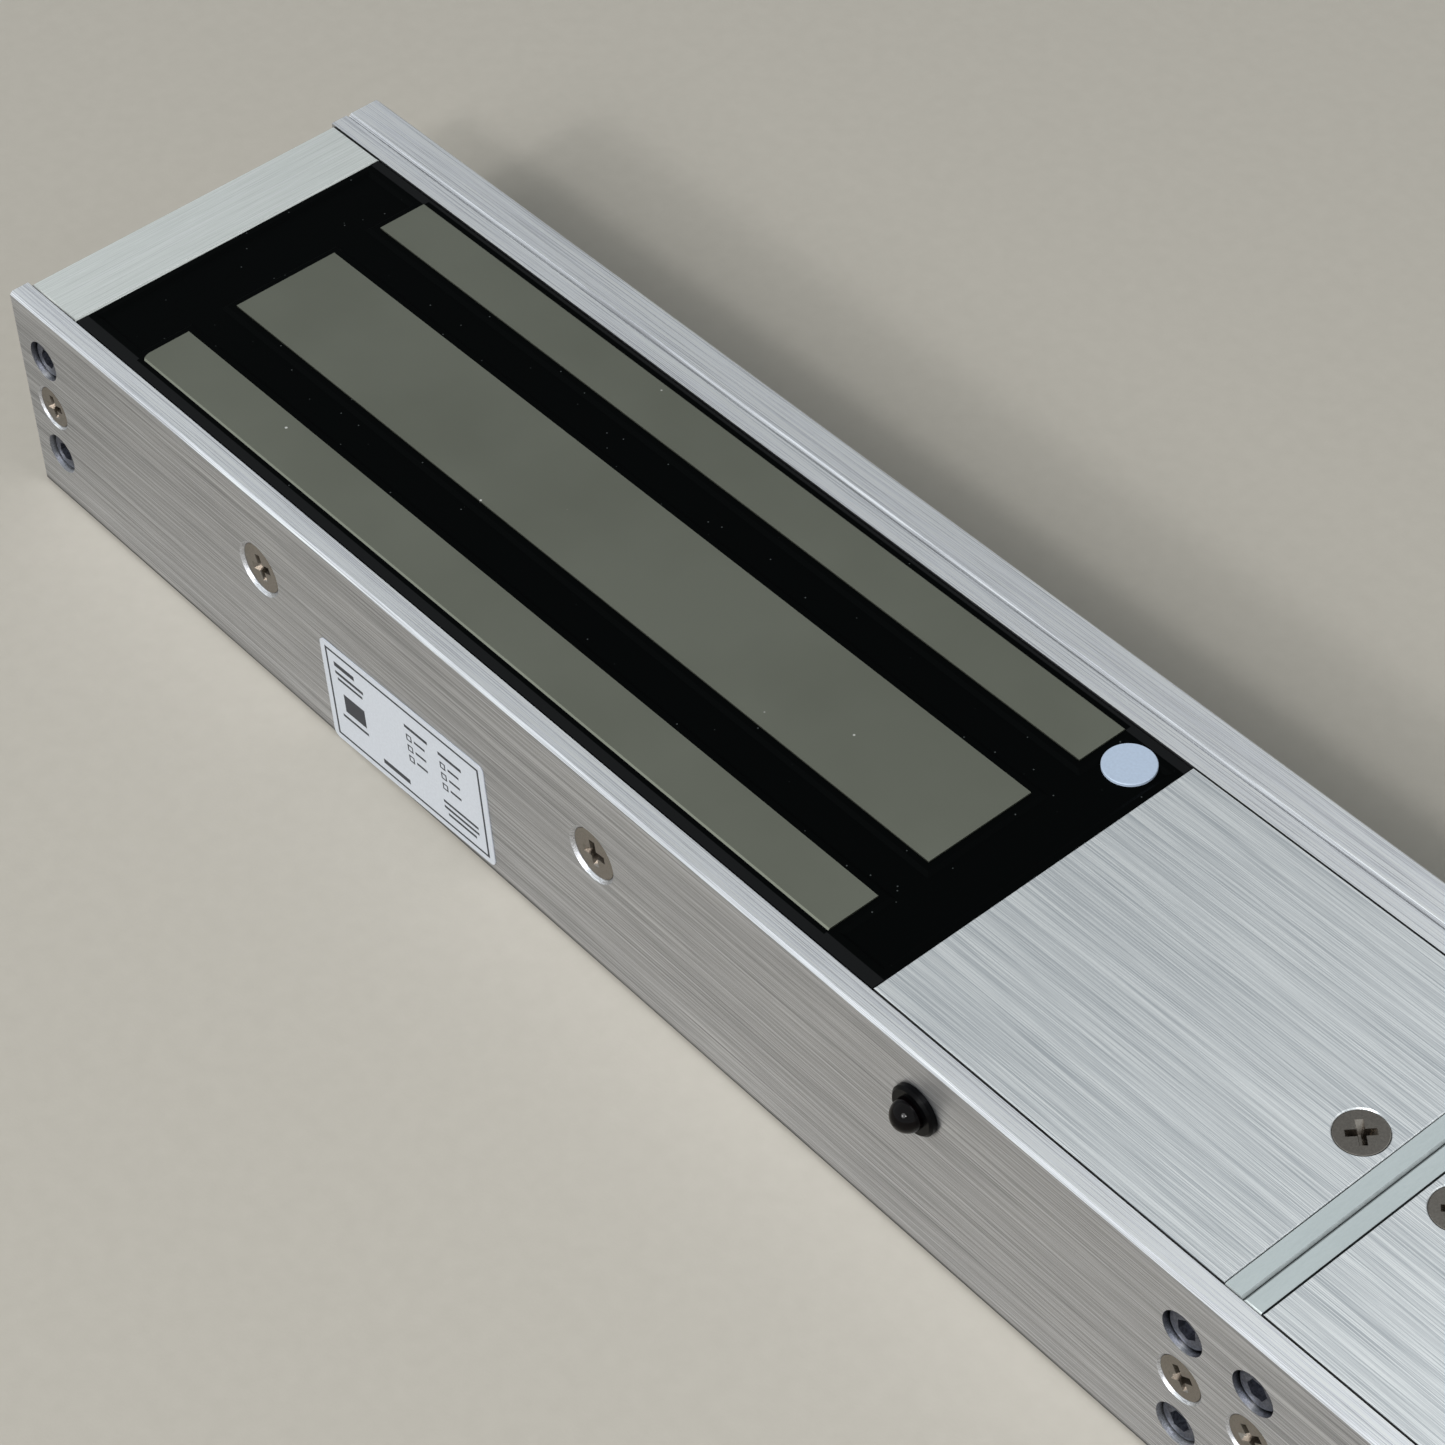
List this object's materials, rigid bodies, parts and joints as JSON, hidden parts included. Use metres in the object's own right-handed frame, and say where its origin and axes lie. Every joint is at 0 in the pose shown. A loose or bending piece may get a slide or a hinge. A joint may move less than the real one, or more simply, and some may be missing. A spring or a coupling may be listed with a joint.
{
  "type": "double electromagnetic lock",
  "caption": "Long surface-mount electromagnetic lock for a double door, with potted magnets at both ends and covered wiring compartments between them.",
  "frame": {"origin": "middle of the face that the lock lies on, opposite the magnet faces", "axes": "+X along the lock, +Z out of the magnet faces, +Y towards the door frame that carries the lock"},
  "size_m": [0.5334, 0.0774, 0.0397],
  "materials": {
    "brushed_extrusion": "brushed along its length, clear anodised",
    "block_aluminium": "satin, anodised",
    "cover_aluminium": "brushed along its length, clear anodised",
    "core_steel": "ground and plated pole faces, matte",
    "bobbin_nylon": "moulded",
    "enamelled_copper": "enamelled wire",
    "tray_plastic": "moulded, black",
    "potting_epoxy": "cast, black, semi-gloss",
    "sensor_cap": "moulded, white",
    "lead_insulation": "extruded",
    "black_plastic": "moulded, black",
    "lamp_lens": "clear dark red, domed",
    "board_laminate": "glass-fibre laminate, green",
    "terminal_plastic": "moulded, green",
    "suppressor_coating": "dipped coating, blue",
    "header_plastic": "moulded, natural white",
    "bolt_steel": "zinc-nickel plated",
    "nickel_screw": "nickel plated",
    "label_film": "white film, semi-matte",
    "grommet_rubber": "moulded, black"
  },
  "bodies": {
    "root": {"housing_channel": "brushed_extrusion", "mounting_plate": "brushed_extrusion", "mounting_bolts": "bolt_steel", "block_screws": "nickel_screw", "magnet_screws": "nickel_screw", "cover_screws": "nickel_screw", "label_sheet": "label_film", "end_block_left": "block_aluminium", "end_block_right": "block_aluminium", "centre_block_left": "block_aluminium", "centre_block_right": "block_aluminium", "magnet_core_left": "core_steel", "magnet_core_right": "core_steel", "coil_bobbin_left": "bobbin_nylon", "coil_bobbin_right": "bobbin_nylon", "coil_winding_left": "enamelled_copper", "coil_winding_right": "enamelled_copper", "potting_tray_left": "tray_plastic", "potting_tray_right": "tray_plastic", "potting_left": "potting_epoxy", "potting_right": "potting_epoxy", "bond_sensor_left": "sensor_cap", "bond_sensor_right": "sensor_cap", "coil_leads_left": "lead_insulation", "coil_leads_right": "lead_insulation", "sensor_leads_left": "lead_insulation", "sensor_leads_right": "lead_insulation", "lamp_leads_left": "lead_insulation", "lamp_leads_right": "lead_insulation", "cover_left": "cover_aluminium", "cover_right": "cover_aluminium", "lamp_bezel_left": "black_plastic", "lamp_bezel_right": "black_plastic", "lamp_left": "lamp_lens", "lamp_right": "lamp_lens", "circuit_board_left": "board_laminate", "circuit_board_right": "board_laminate", "board_rails_left": "bobbin_nylon", "board_rails_right": "bobbin_nylon", "terminal_block_left": "terminal_plastic", "terminal_block_right": "terminal_plastic", "relay_left": "black_plastic", "relay_right": "black_plastic", "surge_suppressor_left": "suppressor_coating", "surge_suppressor_right": "suppressor_coating", "voltage_jumper_left": "black_plastic", "voltage_jumper_right": "black_plastic", "lead_headers_left": "header_plastic", "lead_headers_right": "header_plastic", "cable_grommet_left": "grommet_rubber", "cable_grommet_right": "grommet_rubber"}
  },
  "joints": []
}
